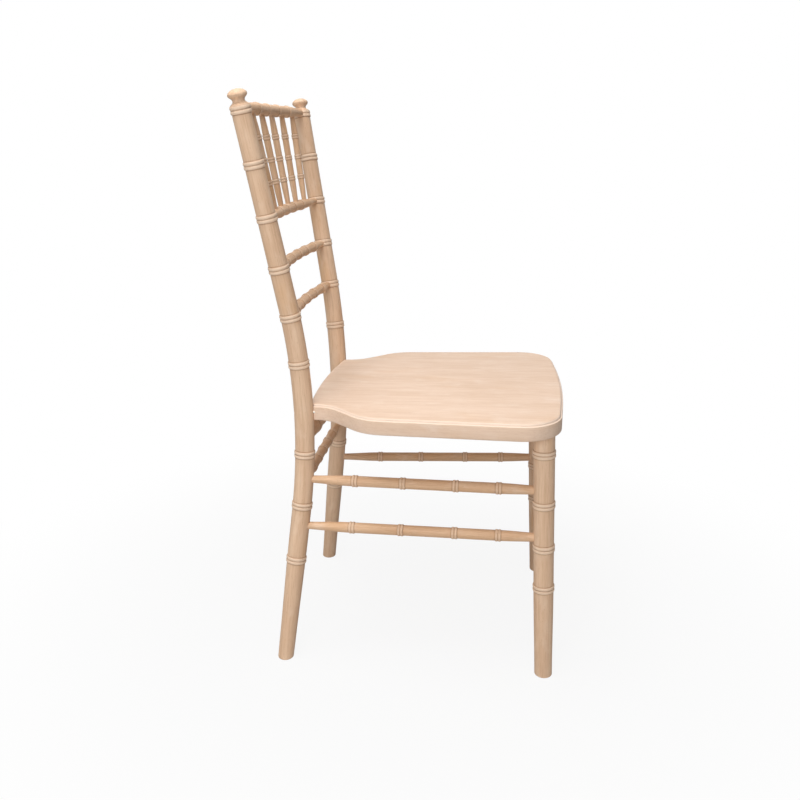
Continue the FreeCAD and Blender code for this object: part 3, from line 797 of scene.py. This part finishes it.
def roundedOutline(corners, arcStep=0.06, arcLength=0.008):
    # closed outline of straight runs and tangent arcs from (x, depth, radius) corners
    outline = []
    for number, (x, y, radius) in enumerate(corners):
        here = Vector((x, y))
        before = (Vector(corners[number - 1][:2]) - here).normalized()
        after = (Vector(corners[(number + 1) % len(corners)][:2]) - here).normalized()
        half = before.angle(after) / 2
        centre = here + (before + after).normalized() * radius / math.sin(half)
        start = here + before * radius / math.tan(half) - centre
        finish = here + after * radius / math.tan(half) - centre
        turnBy = start.angle_signed(finish)
        perLength = math.ceil(abs(turnBy) * radius / arcLength)
        count = max(3, math.ceil(abs(turnBy) / arcStep), perLength)
        for part in range(count + 1):
            angle = -turnBy * part / count
            c, s = math.cos(angle), math.sin(angle)
            outline.append(centre + Vector((start.x * c - start.y * s, start.x * s + start.y * c)))
    return outline


def insetLoop(outline, inset):
    # each point moved square to the outline, inwards
    moved = []
    for number, here in enumerate(outline):
        along = (outline[(number + 1) % len(outline)] - outline[number - 1]).normalized()
        normal = Vector((-along.y, along.x))
        middle = Vector((0.0, seat["middle"]))
        if normal.dot(middle - here) < 0:
            normal = -normal
        moved.append(here + normal * inset)
    return moved


def seatEdge():
    # edge section of the board: (inset, depth below the top), from the top face down
    lip, drop = seat["lipInset"] - seat["lipShift"], seat["lipHeight"]
    section = []
    for sine, cosine in quarterTurn(6):
        section.append((lip + seat["lipRound"] * (1 - sine), seat["lipRound"] * (1 - cosine)))
    section.append((lip, drop - seat["lipGap"]))
    shoulder = seat["shoulderRound"]
    for sine, cosine in quarterTurn(4):
        section.append((shoulder * (1 - sine), drop + shoulder * (1 - cosine)))
    lowRound = seat["lowRound"]
    for sine, cosine in quarterTurn(6):
        section.append((lowRound * (1 - cosine), seat["thickness"] - lowRound * (1 - sine)))
    return section


def quarterTurn(steps):
    # sine and cosine in even steps from 0 to 90 degrees
    angles = [math.pi / 2 * number / steps for number in range(steps + 1)]
    return [(math.sin(angle), math.cos(angle)) for angle in angles]


def makeNotch(side):
    # cutter that follows the bent post
    low, high = pointAt(postLine, seat["notchFrom"]), pointAt(postLine, seat["notchTo"])
    line = [low] + [p for p in postLine if low.z < p.z < high.z] + [high]
    if side < 0:
        line = mirroredLine(line)
    radius = post["seatDia"] / 2 + seat["notchGap"]
    stations = []
    for number, here in enumerate(line):
        before = line[max(number - 1, 0)]
        after = line[min(number + 1, len(line) - 1)]
        stations.append((here, (after - before).normalized(), Vector((0, 1, 0)), radius))
    return closedBar("notch", stations, seat["notchSides"])


def makeSeat():
    half = [seat[key] for key in ("rearCorner", "waist", "shoulder", "frontCorner")]
    other = [(-x, y, radius) for x, y, radius in reversed(half)]
    outline = roundedOutline([seat["rearMiddle"]] + half + [seat["frontMiddle"]] + other)
    slope = math.radians(seat["slope"])
    shape = bmesh.new()
    loops = []
    for inset, below in seatEdge():
        loop = []
        for spot in insetLoop(outline, inset + seat["edgeInset"]):
            behind = spot.y - seat["middle"]
            depth = seat["middle"] + behind * math.cos(slope) - below * math.sin(slope)
            height = seat["top"] - behind * math.sin(slope) - below * math.cos(slope)
            loop.append(shape.verts.new(place(spot.x, depth, height)))
        loops.append(loop)
    count = len(outline)
    for low, high in zip(loops, loops[1:]):
        for number in range(count):
            other = (number + 1) % count
            shape.faces.new((low[number], low[other], high[other], high[number]))
    shape.faces.new(loops[0])
    shape.faces.new(loops[-1])
    bmesh.ops.recalc_face_normals(shape, faces=shape.faces)
    mesh = bpy.data.meshes.new("seatBoard")
    shape.to_mesh(mesh)
    shape.free()
    mesh.materials.append(seatWood)
    holder = bpy.data.objects.new("seatBoard", mesh)
    bpy.context.scene.collection.objects.link(holder)
    cutters = [makeNotch(side) for side in (1, -1)]
    for cutter in cutters:
        notch = holder.modifiers.new("notch", "BOOLEAN")
        notch.operation = "DIFFERENCE"
        notch.solver = "EXACT"
        notch.object = cutter
    made = toMesh(holder, "board_seat_panel")
    for cutter in cutters:
        bpy.data.objects.remove(cutter)
    # grain runs from front to rear
    grain = made.data.attributes.new("grain", "FLOAT_VECTOR", "POINT")
    for number, vertex in enumerate(made.data.vertices):
        spot = vertex.co
        grain.data[number].vector = (spot.x, spot.z, spot.y)
    # painted highlight: the lip along the top edge is made paler
    paintedHighlight = made.data.attributes.new("bead", "FLOAT", "POINT")
    lipHighlightTo = seat["lipHeight"] + seat["lipHighlightPast"]
    for number, vertex in enumerate(made.data.vertices):
        below = seatHeight(vertex.co.y - backLine) - vertex.co.z
        paintedHighlight.data[number].value = 1.0 if seat["lipHighlightFrom"] < below < lipHighlightTo else 0.0
    finishPiece(made, "seat_panel", seat["crease"])


makeSeat()
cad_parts["seat_screws"].data.materials.clear()
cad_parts["seat_screws"].data.materials.append(screwSteel)
print("seat board and screws ready")


# Floor, background and light

studio = dict(
    floorSize=60.0, floorColor=(0.62, 0.62, 0.62, 1.0), skyLight=0.32, horizonLight=0.12,
    whiteShare=0.90, whiteFrom=0.30, whiteTo=1.0, lampsAimAt=(0.0, 0.0, 0.4),
    overhead=dict(spot=(-0.5, 0.3, 2.7), size=1.4, power=42.0),
    sideLight=dict(spot=(-2.5, 0.3, 1.4), size=1.5, power=32.0),
)


def makeFloor():
    bpy.ops.mesh.primitive_plane_add(size=studio["floorSize"])
    floor = bpy.context.object
    floor.name = "studioFloor"
    material = bpy.data.materials.new("studioFloor")
    material.use_nodes = True
    tree = material.node_tree
    tree.nodes.clear()
    diffuse = addNode(tree, "ShaderNodeBsdfDiffuse", {"Color": studio["floorColor"]})
    white = addNode(tree, "ShaderNodeEmission")
    white.inputs["Strength"].default_value = 1.0
    seen = addNode(tree, "ShaderNodeLightPath").outputs["Is Camera Ray"]
    # white to the eye, all the more away from the chair, with the shadow kept near it
    spot = addNode(tree, "ShaderNodeTexCoord").outputs["Object"]
    away = addNode(tree, "ShaderNodeVectorMath", {0: spot}, operation="LENGTH").outputs["Value"]
    near, far = studio["whiteFrom"], studio["whiteTo"]
    whiteness = remap(tree, away, near, far, studio["whiteShare"], 1.0, "SMOOTHSTEP")
    share = math3(tree, "MULTIPLY", seen, whiteness)
    both = addNode(tree, "ShaderNodeMixShader", {0: share, 1: diffuse.outputs[0], 2: white.outputs[0]})
    addNode(tree, "ShaderNodeOutputMaterial", {"Surface": both.outputs[0]})
    floor.data.materials.append(material)


def makeWorld():
    world = bpy.data.worlds.new("studioWorld")
    bpy.context.scene.world = world
    world.use_nodes = True
    tree = world.node_tree
    tree.nodes.clear()
    path = addNode(tree, "ShaderNodeLightPath")
    seen = math3(tree, "MAXIMUM", path.outputs["Is Camera Ray"], path.outputs["Is Glossy Ray"])
    heading = addNode(tree, "ShaderNodeTexCoord").outputs["Generated"]
    up = addNode(tree, "ShaderNodeSeparateXYZ", {0: heading}).outputs[2]
    dome = remap(tree, up, 0.0, 1.0, studio["horizonLight"], studio["skyLight"])
    strength = remap(tree, seen, 0.0, 1.0, dome, 1.0)
    light = addNode(tree, "ShaderNodeBackground", {"Strength": strength})
    light.inputs["Color"].default_value = (1.0, 1.0, 1.0, 1.0)
    addNode(tree, "ShaderNodeOutputWorld", {"Surface": light.outputs[0]})


def addLamp(name, softbox):
    data = bpy.data.lights.new(name, "AREA")
    data.shape = "SQUARE"
    data.size = softbox["size"]
    data.energy = softbox["power"]
    lamp = bpy.data.objects.new(name, data)
    lamp.location = softbox["spot"]
    aim = Vector(studio["lampsAimAt"]) - Vector(softbox["spot"])
    lamp.rotation_euler = aim.to_track_quat("-Z", "Y").to_euler()
    bpy.context.scene.collection.objects.link(lamp)


makeCamera()
makeFloor()
makeWorld()
addLamp("overheadSoftbox", studio["overhead"])
addLamp("sideSoftbox", studio["sideLight"])
bpy.context.scene.view_settings.view_transform = "Standard"
print("studio ready")

print("pieces:", len(pieces) + 1)
